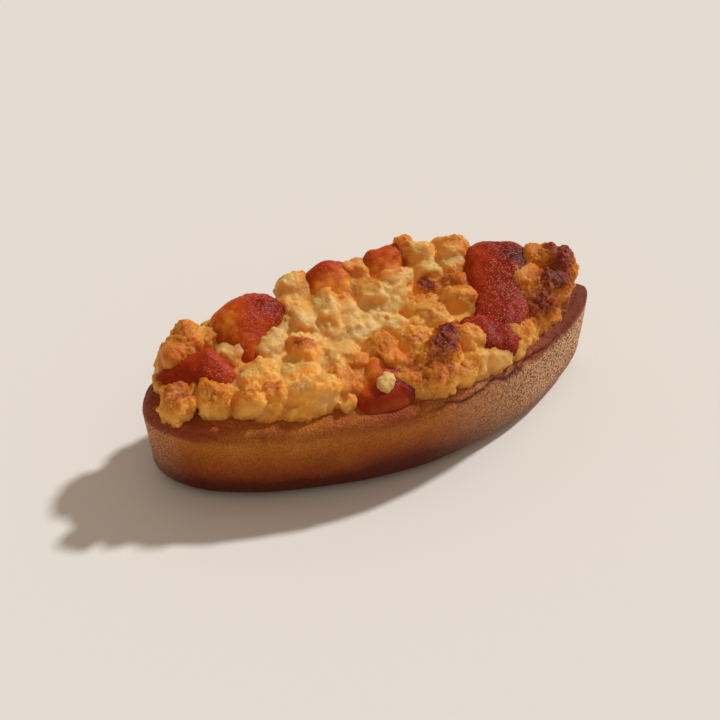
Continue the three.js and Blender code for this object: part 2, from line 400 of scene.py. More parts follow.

# Browned sponge: a dry crust the colour of toffee, paler and pinker at the ends, full of fine pores, with
# painted shade in the pores and the crack.
# Real pores are finer, and these are drawn as coarse as they need to show.
FINE_PORE = 0.38
CRUST_MOTTLE = 1.4
sponge, tree = new_material("browned_sponge")
place = add(tree, "ShaderNodeTexCoord").outputs["Object"]
pale_end_share = attribute(tree, "pale_end_share")
mottle = noise(tree, place, CRUST_MOTTLE, 3.0)
tone = computed(tree, "MULTIPLY_ADD", mottle, 0.14, attribute(tree, "browning"), clamped=True)
crust = ramped(tree, tone, [
    (0.0, "#CC8836"), (1.0, "#521C0A"), (0.25, "#BC6818"), (0.5, "#96430F"), (0.75, "#5C200A")])
# A paler, pinker crust colour towards the ends
pale_end_colour = painted(tree, pale_end_share, crust, "#F4BA8A")
glazed = painted(tree, attribute(tree, "glaze"), pale_end_colour, "#A44624")
# Painted shade in the crack, and the darker colour of the rim at the sharp end
crack_and_rim_darkened = painted(tree, attribute(tree, "crack"), glazed, "#4C160A")
pore = noise(tree, place, FINE_PORE, 2.0)
# Painted shade in the pores: darker where the pore noise dips, strongest at the paler ends
pore_shade_painted = computed(tree, "MULTIPLY", ranged(tree, pore, 0.46, 0.55), ranged(tree, pale_end_share, 0.0, 1.0, 0.3, 0.92))
pores_shaded = painted(tree, pore_shade_painted, crack_and_rim_darkened, "#4C1A0A")
pitting = [("Strength", 0.8), ("Distance", 0.4 * MM), ("Height", pore)]
raised = add(tree, "ShaderNodeBump", pitting, invert=True)
surface(tree, [
    ("Base Color", pores_shaded), ("Roughness", 0.6), ("IOR", 1.45), ("Specular IOR Level", 0.2),
    ("Normal", raised.outputs["Normal"])])
cake.data.materials.append(sponge)
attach(cake, "root")
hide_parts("cake")

# The crumble
# Butter, sugar and flour rubbed to crumbs and baked on the cake. Each crumb is a clump of smaller knobs, pale
# where it was shaded in the oven and browned where it stood up, and they have baked together into one layer.
FRONT_SLOPE = 2.2
BACK_SLOPE = 5.2
BED_DEPTH = 3.3
BED_SUNK = 0.6
BACK_RISE = 3.7
BACK_START = 3
BACK_END = 14
END_START = 25
END_LEAN = 0.6
END_EDGE = 3.5
BACK_EDGE = 2.5
FRONT_EDGE = 2.2
FRONT_LEFT_MORE = 4.4
FRONT_FRUIT_MORE = 3
EDGE_WAVER = 0.8
SIDES_APART = 9
CRUMB_SUNK = 1.2
EDGE_SUNK = 1.5
TALLEST = 1.5
BLOCKS_APART = 7.3
WAVER_SIZE = 0.9

# Big crumbs: along, across, height of the top, length, width, turn in degrees, how browned
CRUMBS = np.array([
    # back row, from the blunt end
    [-43, 6.8, 25, 4.5, 5, 0, 0.4],
    [-39.5, 7.5, 28.3, 9.5, 8, 40, 0.48],
    [-36.7, 10.4, 28.7, 6, 5.5, 30, 0.52],
    [-32.4, 9.7, 27, 5, 6, 0, 0.3],
    [-12, 15.5, 29.3, 8, 7, 0, 0.18],
    [2.4, 15.4, 28.9, 7, 6.5, 0, 0.14],
    [3.6, 16.8, 28.9, 4, 4, 0, 0.14],
    [14, 17.4, 30.6, 5, 5, 0, 0.5],
    [17, 15.2, 29.6, 7, 6, 0, 0.12],
    [23.7, 13.5, 30.6, 9, 6.5, -25, 0.44],
    # behind the middle
    [-30, 3.5, 26, 6, 6, 0, 0.18],
    [-22, 2.9, 25.8, 7.5, 7, 0, 0.12],
    [-18.2, 6.4, 26, 6, 6, 0, 0.1],
    [-13.2, 7.4, 27.2, 6, 9.5, -9, 0.14],
    [-8, 7.2, 28, 5.6, 9.5, -9, 0.14],
    [-4.2, 7.5, 26.8, 5, 6, 0, 0.3],
    [-3.2, 4.4, 25.2, 5.5, 5, 0, 0.1],
    [0.2, 2.6, 25.2, 6, 4, -20, 0.08],
    [5, 8, 27.4, 11.5, 10, 0, 0.18],
    [8.9, 10.2, 28.6, 8, 5, 0, 0.1],
    [14.7, 7, 26, 4.2, 4.2, 0, 0.9],
    [16.8, 10.5, 28.2, 6, 6, 0, 0.14],
    [22.4, 9.8, 28.6, 5.5, 5, 0, 0.08],
    [21.2, 4.8, 27, 8.5, 7.5, 0, 0.6],
    [19.6, 0.4, 27, 7.5, 6, 0, 0.4],
    [11, 3, 25.4, 8, 6, 20, 0.4],
    # the middle
    [-16.3, -2.2, 26.5, 6, 5.5, 0, 0.62],
    [-13.5, 2.8, 24.8, 7, 6, 0, 0.1],
    [-4.2, 0, 25.2, 12, 5.5, 12, 0.04],
    [4.3, -0.8, 25.4, 6, 4.5, 15, 0.12],
    [12.5, -1.5, 25.7, 6, 6, 0, 0.35],
    [-27, -4, 25, 8.5, 7, 0, 0.22],
    [-19, -5, 24.6, 7, 6.5, 0, 0.2],
    [-10.5, -5.5, 24.8, 9.5, 8, 0, 0.14],
    [-1.5, -6.5, 25.9, 6.5, 6.5, 0, 0.5],
    [5.5, -7, 25.7, 7, 7, 0, 0.38],
    [12.2, -9.2, 26.9, 5, 5.5, 0, 0.95],
    [16.4, -11.2, 26.6, 5, 5.5, 0, 0.36],
    # front row, from the blunt end
    [-44.2, -4.4, 24.8, 7.2, 6, 30, 0.7],
    [-37.2, -6.9, 24.8, 6.6, 6.4, -20, 0.46],
    [-31, -9.2, 25, 5.6, 6.4, -10, 0.46],
    [-26, -10.8, 25.2, 5.2, 6.4, 0, 0.56],
    [-28.5, -12.2, 21.6, 4.5, 3, -10, 0.2],
    [-23, -14, 21.8, 5, 3, 0, 0.2],
    [-18.8, -12.8, 25.6, 10.4, 7.4, 0, 0.27],
    [-11.7, -11.3, 24.3, 5.5, 6.5, 0, 0.5],
    [-12.8, -16, 21.6, 3.5, 2.6, 20, 0.3],
    [6.8, -16.2, 23.6, 10, 7, 0, 0.62],
    [5.5, -12.3, 25.2, 7, 6, 0, 0.45],
    [9.5, -12.4, 26.4, 6.5, 6, 0, 0.9],
    [12.2, -17, 23.4, 5, 4.5, 0, 0.3],
    [15.8, -15.6, 23.8, 6.5, 5, 15, 0.28],
    [20.4, -14.8, 23.6, 6.5, 4.5, 25, 0.28],
    [26.4, -11.8, 25, 9, 5, 30, 0.36],
    # sharp end
    [34, -0.8, 28.6, 8, 7.5, 0, 0.25],
    [34.8, -6, 25.8, 8, 6.5, 30, 0.92],
    [38, -5.8, 23.4, 3.5, 5.5, -40, 0.6],
    [38, 4.1, 30.4, 6, 5.5, 0, 0.5],
    [41.5, 3.2, 30.6, 3.5, 4.5, 0, 0.72],
    [43.8, 1.2, 29.8, 5.5, 6, 0, 0.9],
    [39.6, -2.4, 27.6, 8, 7, 0, 0.95],
    [43.8, -0.2, 26.4, 3.6, 4, 0, 0.7],
    # round the fruit on the front edge
    [-0.8, -10.9, 25.8, 5, 4.8, 0, 0.36],
    [-10, -14, 22.8, 3.4, 3.4, 30, 0.34],
    [-7.5, -8.8, 25, 4.5, 4, 0, 0.45],
    [2.6, -13, 23.8, 3.4, 4, 0, 0.5],
    # one more in the middle
    [-8.2, 2.4, 24.8, 5, 4.5, 20, 0.14],
    # under the fruit at the blunt end
    [-45, 3.1, 22.4, 3.2, 4.2, 0, 0.4],
    [-45.2, 0.4, 22.2, 2.8, 2.8, 0, 0.36],
])


def facets(points, size, seed):
    """Flat facets from about -1 to 1: a place takes the tilt and the step of the nearest of the random points
    that lie one in each cell of a cubic grid."""
    place = points / size
    nearest = np.full(len(points), np.inf)
    value = np.zeros(len(points))
    for cells in cells_round(place):
        tilt = 2 * random_shares(cells, seed + 1) - 1
        away = place - cells - random_shares(cells, seed)
        distance = np.sum(away ** 2, axis=-1)
        value = np.where(distance < nearest, np.sum(away * tilt, axis=-1) + 0.5 * tilt[:, 0], value)
        nearest = np.minimum(nearest, distance)
    return value


def bed_depth(along, across):
    """Depth of the crumble's bed well inside the rim: a soft step up towards the back and the sharp end."""
    back = across + END_LEAN * np.maximum(0, along - END_START)
    return BED_DEPTH + BACK_RISE * smooth(back, BACK_START, BACK_END)


def bed_edge(along, across):
    """How far in from the rim the crumbs end: a little at the back and the front right, more by soft steps at
    the front left, round the fruit on the front edge and at the two ends, with soft noise at the front."""
    front = FRONT_EDGE + FRONT_LEFT_MORE * (1 - smooth(along, -16, 2))
    front = front + FRONT_FRUIT_MORE * np.exp(-((along - FRONT_FRUIT) / 5) ** 2)
    places = np.stack([along, np.sign(across) * SIDES_APART, 0 * along], -1)
    front = front + EDGE_WAVER * soft_noise(places, 3.5, 34)
    side = np.where(across < 0, front, BACK_EDGE)
    return side + (END_EDGE - FRONT_EDGE) * smooth(np.abs(along), 36, 46)


def bed_height(along, across):
    """Height of the bed: a little below the crown at the edge of the crumbs, and from there a soft step up to
    its depth above the crown."""
    inset = np.maximum(0, half_width(along) - np.abs(across))
    slope = FRONT_SLOPE + (BACK_SLOPE - FRONT_SLOPE) * smooth(across, -4, 4)
    share = smooth((inset - bed_edge(along, across)) / slope, 0, 1)
    return crown_height(inset) - BED_SUNK + share * (BED_SUNK + bed_depth(along, across))


def blocks(centres, radii, angles, power, waver, seed, rows=12, columns=18):
    """Closed rounded blocks, all at once: each direction of a globe is scaled until the powers of its parts
    add up to one, stretched by the radii, made uneven by soft noise, tilted about X, then about Y, then
    turned about Z by its three angles in degrees, and moved to its centre."""
    rise = np.linspace(-np.pi / 2, np.pi / 2, rows)[:, None]
    turn = np.arange(columns)[None, :] * 2 * np.pi / columns
    globe = np.stack([np.cos(rise) * np.cos(turn), np.cos(rise) * np.sin(turn), np.sin(rise) + 0 * turn], -1)
    globe = globe.reshape(-1, 3)
    globe = globe / np.sum(np.abs(globe) ** power, axis=-1, keepdims=True) ** (1 / power)
    spread = globe[None] + BLOCKS_APART * np.arange(len(centres))[:, None, None]
    uneven = 1 + waver * soft_noise(spread, WAVER_SIZE, seed)[..., None]
    points = globe[None] * uneven * radii[:, None, :]
    for axis, first, second in ((0, 1, 2), (1, 2, 0), (2, 0, 1)):
        cosine = np.cos(np.radians(angles[:, axis]))[:, None]
        sine = np.sin(np.radians(angles[:, axis]))[:, None]
        turned = points[..., first] * cosine - points[..., second] * sine
        points[..., second] = points[..., first] * sine + points[..., second] * cosine
        points[..., first] = turned
    points = (points + centres[:, None, :]).reshape(-1, 3)
    start = np.arange(len(centres))[:, None, None] * len(globe)
    return points, (start + ring_quads(rows, columns)[None]).reshape(-1, 4)


def join(parts):
    """Points and faces of several meshes as one: each mesh's faces count on from the points before it."""
    starts = np.cumsum([0] + [len(points) for points, faces in parts[:-1]])
    joined = np.concatenate([points for points, faces in parts])
    return joined, np.concatenate([faces + start for start, (points, faces) in zip(starts, parts)])


def fused(name, points, faces, voxel, rounds):
    """One skin round overlapping closed shapes, with faces of a voxel's size, evened out some rounds."""
    piece = put_mesh(name, points, faces)
    skin = piece.modifiers.new("skin", "REMESH")
    skin.mode = "VOXEL"
    skin.voxel_size = voxel * MM
    rounding = piece.modifiers.new("rounding", "SMOOTH")
    rounding.iterations = rounds
    piece.data = bpy.data.meshes.new_from_object(piece.evaluated_get(bpy.context.evaluated_depsgraph_get()))
    piece.modifiers.clear()
    return piece


def evened(piece, rounds):
    """Where a piece's points, in millimetres, would be after some rounds of evening its skin out."""
    rounding = piece.modifiers.new("rounding", "SMOOTH")
    rounding.iterations = rounds
    mesh = piece.evaluated_get(bpy.context.evaluated_depsgraph_get()).to_mesh()
    points = np.empty(len(mesh.vertices) * 3, np.float32)
    mesh.vertices.foreach_get("co", points)
    piece.modifiers.clear()
    return points.reshape(-1, 3) / MM


def move_skin(piece, points):
    """Puts moved points, in millimetres, back into a piece."""
    piece.data.vertices.foreach_set("co", (points * MM).astype(np.float32).ravel())
    piece.data.update()
    piece.data.shade_smooth()


def crumb_bodies(rows):
    """Centre and radii of each crumb: it reaches from its top down into the bed, or at an edge down to the
    cake, but no crumb is much taller than it is long."""
    along, across, top, length, width = rows.T[:5]
    outside = across + np.sign(across) * width / 2
    bottom = np.minimum(bed_height(along, across) - CRUMB_SUNK, bed_height(along, outside) - EDGE_SUNK)
    bottom = np.maximum(bottom, top - TALLEST * np.maximum(length, width))
    centres = np.stack([along, across, (top + bottom) / 2], -1)
    return centres, np.stack([length / 2, width / 2, (top - bottom) / 2], -1)


def back_crumbs(along, across, top, length, width, browned):
    """Rows of crumbs along the back edge, each turned by the arc tangent of the rim's slope at its place."""
    turn = np.degrees(np.arctan(half_width(along + 1) - half_width(along)))
    return np.stack(np.broadcast_arrays(along, across, top, length, width, turn, browned), -1)


# Pieces of apricot among the crumbs, each a row of lumps: along, across, height of the top, length, width,
# turn in degrees
APRICOTS = {
    "apricot_left_back": [
        [-27.2, 2.8, 25.6, 5, 6, 0], [-25.5, 7, 28, 12, 8, 10], [-24.3, 10, 29.8, 16.5, 11, 10],
        [-23.8, 10.7, 30, 17.5, 12.5, 10]],
    "apricot_left_front": [
        [-44.5, 3, 24, 3, 5, 0], [-40, 1.8, 26.2, 7, 9, -15], [-35.8, 1, 28.4, 7, 11, -20],
        [-33.6, -1.6, 26, 6, 8, -20]],
    "apricot_back_middle": [[-4, 13.4, 28.2, 13, 10, 0], [-3.8, 15.8, 29.8, 11, 9, 0]],
    "apricot_back_right": [
        [7, 13.2, 28.2, 12, 8, 0], [6.8, 16.6, 30.1, 7, 6.5, 0], [8.8, 16.2, 30.1, 10, 7.5, 0],
        [11.5, 16.6, 30.2, 5, 5, 0]],
    "apricot_right": [
        [31.2, 6.8, 30.2, 16, 13, -20], [29.6, 2.5, 28, 15.5, 10, -20], [27.2, -3, 26.3, 12.5, 9, -20],
        [25, -8.5, 25.3, 11, 8.5, -25], [21.6, -11.8, 24.9, 10, 7.5, -25], [19, -7.6, 25.6, 8, 6, 0]],
    "apricot_front": [
        [-4, -11.8, 24.4, 13, 8, 0], [-4.2, -15, 22.4, 13.5, 7.5, 0], [-4.8, -17.4, 20.2, 13, 5.5, 0]],
}


def fruit_share(along, across, lump):
    """How far a place is from the middle of a lump of fruit in plan, as a share of the lump's half size."""
    turn = np.radians(lump[5])
    ahead = (along - lump[0]) * np.cos(turn) + (across - lump[1]) * np.sin(turn)
    aside = (across - lump[1]) * np.cos(turn) - (along - lump[0]) * np.sin(turn)
    return np.hypot(ahead / (lump[3] / 2), aside / (lump[4] / 2))


# Crumbs side by side along the back edge, as at the front, where no fruit is in the way
EDGE_REACH = 33
EDGE_STEP = 6.0
EDGE_INSET = 4
EDGE_RISE = 2.2
FRUIT_CLEAR = 0.65
edge_along = np.arange(-EDGE_REACH, EDGE_REACH + 1, EDGE_STEP)
edge_across = half_width(edge_along) - EDGE_INSET
edge_top = bed_height(edge_along, edge_across) + EDGE_RISE
edge_crumbs = back_crumbs(edge_along, edge_across, edge_top, length=7, width=6, browned=0.35)
fruit_lumps = np.concatenate([np.array(lumps) for lumps in APRICOTS.values()])
from_fruit = np.linalg.norm(edge_crumbs[:, None, :2] - fruit_lumps[None, :, :2], axis=-1) / fruit_lumps[:, 3]
edge_crumbs = edge_crumbs[from_fruit.min(1) > FRUIT_CLEAR]

# Lower crumbs that the back edge is heaped with, right under the fruit
LOW_REACH = 31
LOW_STEP = 4.5
LOW_INSET = 3.3
LOW_RISE = 4.6
low_along = np.arange(-LOW_REACH, LOW_REACH + 1, LOW_STEP)
low_across = half_width(low_along) - LOW_INSET + 0.5 * np.sin(5 * low_along)
low_top = RIM_HEIGHT + LOW_RISE + 0.9 * np.sin(3 * low_along)
low_brown = 0.34 + 0.12 * np.sin(7 * low_along)
low_crumbs = back_crumbs(low_along, low_across, low_top, length=5.5, width=5, browned=low_brown)
crumb_rows = np.concatenate([CRUMBS, edge_crumbs, low_crumbs])

# Each crumb is a body with chunks pressed together on a spiral from its top down past its waist.
# Chunk sizes, where the chunks start and how far down they go are shares of the crumb's radii.
CHUNKS = 10
CHUNK_TOP = 0.95
CHUNK_DROP = 1.25
CHUNK_SIZE = (0.26, 0.5)
CHUNK_REACH = 0.42
BROWNED_REACH = 0.2
CHUNK_TILT = 45
CRUMB_TILT = 14
CRUMB_SHIFT = 1.7
GOLDEN_TURN = 2.39996
crumb_centres, crumb_radii = crumb_bodies(crumb_rows)
crumb_tilts = np.random.default_rng(5).uniform(-CRUMB_TILT, CRUMB_TILT, (len(crumb_rows), 2))
crumb_angles = np.column_stack([crumb_tilts, crumb_rows[:, 5]])
chunk = np.arange(CHUNKS)[None, :]
crumb_number = np.arange(len(crumb_rows))[:, None]
chunk_rise = CHUNK_TOP - CHUNK_DROP * (chunk + 0.5) / CHUNKS + 0 * crumb_number
chunk_turn = GOLDEN_TURN * chunk + CRUMB_SHIFT * crumb_number
chunk_level = np.sqrt(1 - chunk_rise ** 2)
chunk_way = np.stack([chunk_level * np.cos(chunk_turn), chunk_level * np.sin(chunk_turn), chunk_rise], -1)
chunk_sizes = np.random.default_rng(6).uniform(*CHUNK_SIZE, (*chunk_turn.shape, 3))
chunk_radii = (chunk_sizes * crumb_radii[:, None, :] + 0.1).reshape(-1, 3)
chunk_reach = CHUNK_REACH + BROWNED_REACH * smooth(crumb_rows[:, 6], 0.2, 0.7)
chunk_out = chunk_way * crumb_radii[:, None, :] * chunk_reach[:, None, None]
crumb_turn = np.radians(crumb_rows[:, 5])[:, None]
chunk_centres = crumb_centres[:, None, :] + np.stack([
    chunk_out[..., 0] * np.cos(crumb_turn) - chunk_out[..., 1] * np.sin(crumb_turn),
    chunk_out[..., 0] * np.sin(crumb_turn) + chunk_out[..., 1] * np.cos(crumb_turn), chunk_out[..., 2]], -1)
chunk_centres = chunk_centres.reshape(-1, 3)
chunk_angles = np.random.default_rng(7).uniform(-CHUNK_TILT, CHUNK_TILT, (chunk_turn.size, 3))

# Small crumbs strewn evenly over the bed, clear of the fruit. The plastic number spreads them in two
# directions as the golden ratio does in one.
SMALL_TRIES = 120
PLASTIC = 1.324717957
SMALL_SIZE = (0.8, 2.2)
SMALL_LEAST = [0.7, 0.7, 0.5]
SMALL_MOST = [1.2, 1.2, 0.8]
SMALL_TILT = 60
number = np.arange(1, SMALL_TRIES + 1)
small_along = ((number / PLASTIC) % 1 - 0.5) * (LENGTH - 2 * END_EDGE)
small_across = ((number / PLASTIC ** 2) % 1 - 0.5) * WIDTH
draw = np.random.default_rng(8)
small_size = draw.uniform(*SMALL_SIZE, SMALL_TRIES)
clear = half_width(small_along) - np.abs(small_across) - bed_edge(small_along, small_across)
clear -= 0.4 * small_size
for lump in fruit_lumps:
    clear = np.where(fruit_share(small_along, small_across, lump) < 0.9, -1, clear)
small_along = small_along[clear > 0]
small_across = small_across[clear > 0]
small_size = small_size[clear > 0]
small_height = bed_height(small_along, small_across) + 0.2 * small_size
small_centres = np.stack([small_along, small_across, small_height], -1)
small_radii = small_size[:, None] * draw.uniform(SMALL_LEAST, SMALL_MOST, (len(small_size), 3))
small_angles = draw.uniform(-SMALL_TILT, SMALL_TILT, (len(small_size), 3))

# The bed: rings that close to a point in the middle, over a flat underside sunk into the cake
BED_TURNS = 200
BED_STEPS = 24
BED_FLOOR = RIM_HEIGHT - 0.5
bed_share = np.concatenate([[1, 0], np.linspace(0, 1, BED_STEPS) ** 1.5])
bed_turn = even_turns(BED_TURNS)
bed_rings = np.empty((len(bed_share), BED_TURNS, 3))
bed_along = (LENGTH / 2 - END_EDGE) * np.cos(bed_turn)
bed_side = np.sign(np.sin(bed_turn))
bed_across = bed_side * np.maximum(half_width(bed_along) - bed_edge(bed_along, bed_side), 0.5)
bed_rings[..., 0] = (1 - bed_share[:, None]) * bed_along
bed_rings[..., 1] = (1 - bed_share[:, None]) * bed_across
bed_rings[..., 2] = bed_height(bed_rings[..., 0], bed_rings[..., 1])
bed_rings[:2, :, 2] = BED_FLOOR
core = fused("crumble_core", *join([
    (bed_rings.reshape(-1, 3), ring_quads(len(bed_share), BED_TURNS)),
    blocks(crumb_centres, crumb_radii, crumb_angles, power=3.0, waver=0.3, seed=31),
    blocks(chunk_centres, chunk_radii, chunk_angles, power=3.6, waver=0.3, seed=32),
    blocks(small_centres, small_radii, small_angles, power=3.2, waver=0.3, seed=33),
]), voxel=0.34, rounds=2)

# How browned the bed between the crumbs is, and how much it counts beside them
BED_BROWN = 0.22
BED_WEIGHT = 0.12


def crumb_browning(points):
    """How browned the crumbs are: each crumb's own value, which falls from its top to its foot, but hardly in
    golden crumbs and at the sharp end, weighted by how near the crumb is in plan, with a pale bed between."""
    along, across, top, length, width, turn, own = crumb_rows.T[:, None, :]
    turn = np.radians(turn)
    away_along = points[:, None, 0] - along
    away_across = points[:, None, 1] - across
    ahead = (away_along * np.cos(turn) + away_across * np.sin(turn)) / (length / 2)
    aside = (away_across * np.cos(turn) - away_along * np.sin(turn)) / (width / 2)
    weight = np.exp(-1.8 * (ahead ** 2 + aside ** 2) ** 1.3)
    lift = (points[:, None, 2] - crumb_centres[None, :, 2]) / crumb_radii[None, :, 2]
    golden = smooth(own, 0.5, 0.56) * (1 - smooth(own, 0.6, 0.615))
    at_foot = 0.5 + 0.4 * np.maximum(smooth(along, 32, 38), golden)
    shown = own * (at_foot + (1 - at_foot) * smooth(lift, -0.4, 0.7))
    return ((weight * shown).sum(1) + BED_WEIGHT * BED_BROWN) / (weight.sum(1) + BED_WEIGHT)


# Chips of crumb that stick to the crumbs, most of them where the crumbs are browned and dry
CHIP_TRIES = 4200
CHIP_CHANCE = 0.15
DRY_MORE = 0.5
CHIP_RADIUS = (0.35, 0.8)
CHIP_TILT = 90
CHIP_SUNK = 0.1
core_points, core_normals = skin_of(core)
core_faces = np.empty(len(core.data.polygons) * 4, np.int32)
core.data.polygons.foreach_get("vertices", core_faces)
chosen = draw.choice(len(core_points), CHIP_TRIES, replace=False)
chip_chance = CHIP_CHANCE + DRY_MORE * smooth(crumb_browning(core_points[chosen]), 0.4, 0.75)
chosen = chosen[draw.uniform(0, 1, CHIP_TRIES) < chip_chance]
chip_radii = draw.uniform(*CHIP_RADIUS, (len(chosen), 3))
chip_angles = draw.uniform(-CHIP_TILT, CHIP_TILT, (len(chosen), 3))
chip_centres = core_points[chosen] - CHIP_SUNK * core_normals[chosen]
crumble = fused("crumble_crumbs", *join([
    (core_points, core_faces.reshape(-1, 4)),
    blocks(chip_centres, chip_radii, chip_angles, power=3.6, waver=0.2, seed=34, rows=7, columns=9),
]), voxel=0.345, rounds=1)
bpy.data.objects.remove(core)

# Painted light: a bright golden glow laid in the hollows, on faces turned away from the key light and on the
# front faces of the front left crumbs, as the light that the crumbs would let through and bounce into their
# shade
# The way to the key light, which the painted glow and painted shade of the crumbs follow
KEY_LIGHT_FROM = np.array([0.7, 0.2, 0.68])
EVENING_ROUNDS = 120
HOLLOW_DEPTH = 0.7
LEFT_ZONE = (6, 16)
crumb_points, crumb_normals = skin_of(crumble)
crumb_along, crumb_across, crumb_height = crumb_points.T
crumb_brown = crumb_browning(crumb_points)
stands_out = np.sum((crumb_points - evened(crumble, EVENING_ROUNDS)) * crumb_normals, axis=-1)
faces_key_light = crumb_normals @ KEY_LIGHT_FROM
at_left = smooth(-crumb_along, *LEFT_ZONE)
facing_front = smooth(-crumb_normals[:, 1], 0, 0.7) * at_left
front_glow_painted = (0.34 + 0.6 * smooth(crumb_along, -40, -28)) * facing_front * smooth(-crumb_across, 1, 5)
front_glow_painted *= 0.8 + 0.6 * soft_noise(crumb_points, 2.5, 55)
shade_glow_painted = np.maximum(0.55 * smooth(0.4 - faces_key_light, 0, 0.7), 0.9 * np.clip(-stands_out / HOLLOW_DEPTH, 0, 1))
put_value(crumble, "painted_glow_in_shade", np.maximum(front_glow_painted, shade_glow_painted * np.clip(1.7 - 2.2 * crumb_brown, 0, 1)))

# Browning: each crumb's own, and on its high points if it is a browned one, with painted shade: more browning
# on faces turned to the key light and less on faces turned away
BROWN_PATCHES = [(0.1, 4.5, 51), (0.11, 2.2, 52)]
TOP_RISE = 0.5
TOP_PALER = 0.06
TOP_DARKER = 0.16
KEY_SIDE_SHADE = 0.12
pale_tops = -TOP_PALER * np.clip(stands_out / TOP_RISE, 0, 1) * np.clip(1.6 - 2.5 * crumb_brown, 0, 1)
dark_tops = TOP_DARKER * np.clip(stands_out / TOP_RISE, -1, 1) * crumb_brown
crumb_brown = crumb_brown + pale_tops + dark_tops
# Painted shade on faces turned to the key light and painted light on faces turned away, with random patches
# of browning
key_side_shade_and_patches = KEY_SIDE_SHADE * (np.clip(faces_key_light, -0.2, 1) - 0.4) + noise_layers(crumb_points, BROWN_PATCHES)
crumb_brown = crumb_brown + key_side_shade_and_patches * (0.5 + 0.5 * smooth(crumb_brown, 0.1, 0.35))
put_value(crumble, "browning", np.clip(crumb_brown, 0, 1))

# Juice that has run from the fruit into the crumbs beside it, and wider spots of it: along, across, reach
JUICE_REACH = 1.1
JUICE_SPOTS = [
    (-7, -10, 3.5), (-11, -14.5, 2), (1.5, -12.5, 2.5), (18, -9, 2.5), (20.8, 2.6, 3.4), (11.5, 4.8, 1.8)]
juicy = np.zeros(len(crumb_points))
for lump in fruit_lumps:
    outside = np.maximum(fruit_share(crumb_along, crumb_across, lump) - 0.92, 0) * (lump[3] + lump[4]) / 4
    juicy = np.maximum(juicy, np.exp(-(outside / JUICE_REACH) ** 2))
for spot_along, spot_across, spot_reach in JUICE_SPOTS:
    away = np.hypot(crumb_along - spot_along, crumb_across - spot_across) / spot_reach
    juicy = np.maximum(juicy, 0.9 * np.exp(-away ** 2))
juicy *= 0.6 + 0.5 * soft_noise(crumb_points, 1.6, 53)
crumb_inset = half_width(crumb_along) - np.abs(crumb_across)
above_cake = crumb_height - crown_height(crumb_inset) + 0.6 * soft_noise(crumb_points, 2, 54)
edge_foot = (1 - smooth(above_cake, 0, 2)) * (1 - smooth(crumb_inset, 6, 10))
put_value(crumble, "juice", np.clip(np.maximum(juicy, 0.6 * edge_foot), 0, 1))

# Fine relief: knobs and grit, rough where browned and nearly smooth where the butter has kept the crumbs
# pale, broken faces, and a rougher front row. Grains are measured from their mean distance, in sizes.
MEAN_DISTANCE = 0.62
KNOB_SIZE = 1.5
KNOB_DEPTH = 0.26
GRIT_SIZE = 0.75
GRIT_DEPTH = 0.3
LUMP_DEPTH = 0.2
BREAK_SIZE = 2.6
CHIPPED_SIZE = 1.2
BREAK_DEPTH = 0.2
FOOT_BREAK_SIZE = 1.7
FOOT_BREAK_DEPTH = 0.3
WARP = 0.5
roughness = 0.1 + 0.78 * smooth(crumb_brown, 0.18, 0.6)
roughness += 0.35 * edge_foot
roughness -= 0.25 * smooth(crumb_along, 28, 34)
sandy = 0.05 + 0.08 * smooth(crumb_brown, 0.15, 0.35)
broken = 0.66 + 0.42 * smooth(crumb_brown, 0.2, 0.5)
front_row = at_left * smooth(-crumb_across, 3, 7)
warped = crumb_points + WARP * np.stack([soft_noise(crumb_points, 1.8, seed) for seed in (41, 42, 43)], -1)
knobs = MEAN_DISTANCE - grain_distance(warped, KNOB_SIZE, 45)
grit = MEAN_DISTANCE - grain_distance(warped, GRIT_SIZE, 46)
crumb_relief = roughness * (KNOB_DEPTH * knobs + GRIT_DEPTH * grit) + sandy * grit
crumb_relief += LUMP_DEPTH * soft_noise(crumb_points, 3.2, 47)
breaks = BREAK_DEPTH * facets(warped, BREAK_SIZE, 81) + BREAK_DEPTH * facets(warped, CHIPPED_SIZE, 83)
crumb_relief += broken * breaks
crumb_relief += FOOT_BREAK_DEPTH * edge_foot * facets(warped, FOOT_BREAK_SIZE, 85)
front_relief = 0.2 * grit + 0.12 * knobs + 0.14 * facets(warped, CHIPPED_SIZE, 87)
crumb_relief += front_row * front_relief
above_rim = smooth(crumb_height, RIM_HEIGHT - 0.4, RIM_HEIGHT + 0.6)
move_skin(crumble, crumb_points + crumb_normals * (above_rim * crumb_relief)[:, None])

# Baked butter crumble: a sandy, slightly waxy mass that lets light in, with a painted golden glow in its
# hollows and shade, and pale specks of sugar on the browned crumbs that are partly painted glints.
# Real sand and sugar dust are finer, and both are drawn as coarse as they need to show.
SAND_GRAIN = 0.5
SUGAR_DUST = 0.5
CRUMBLE_MOTTLE = 2.0
rubbed, tree = new_material("baked_butter_crumble")
place = add(tree, "ShaderNodeTexCoord").outputs["Object"]
browning = attribute(tree, "browning")
sand = noise(tree, place, SAND_GRAIN, 2.0)
mottle = computed(tree, "MULTIPLY_ADD", noise(tree, place, CRUMBLE_MOTTLE, 3.0), 0.18, -0.09)
mottle = computed(tree, "ADD", mottle, ranged(tree, sand, 0.3, 0.7, 0.12, -0.12))
tone = computed(tree, "ADD", browning, mottle, clamped=True)
butter = ramped(tree, tone, [
    (0.0, "#DEBA7C"), (1.0, "#6C1E08"), (0.15, "#D6AA60"), (0.3, "#D8963C"), (0.45, "#CA7A20"),
    (0.6, "#B05812"), (0.8, "#802E0C")])
# Painted glow: a bright golden colour laid over the butter where the crumbs are in hollows or in shade
glow_painted = painted(tree, attribute(tree, "painted_glow_in_shade"), butter, "#FFB248")
stained = painted(tree, attribute(tree, "juice"), glow_painted, "#D0701A")
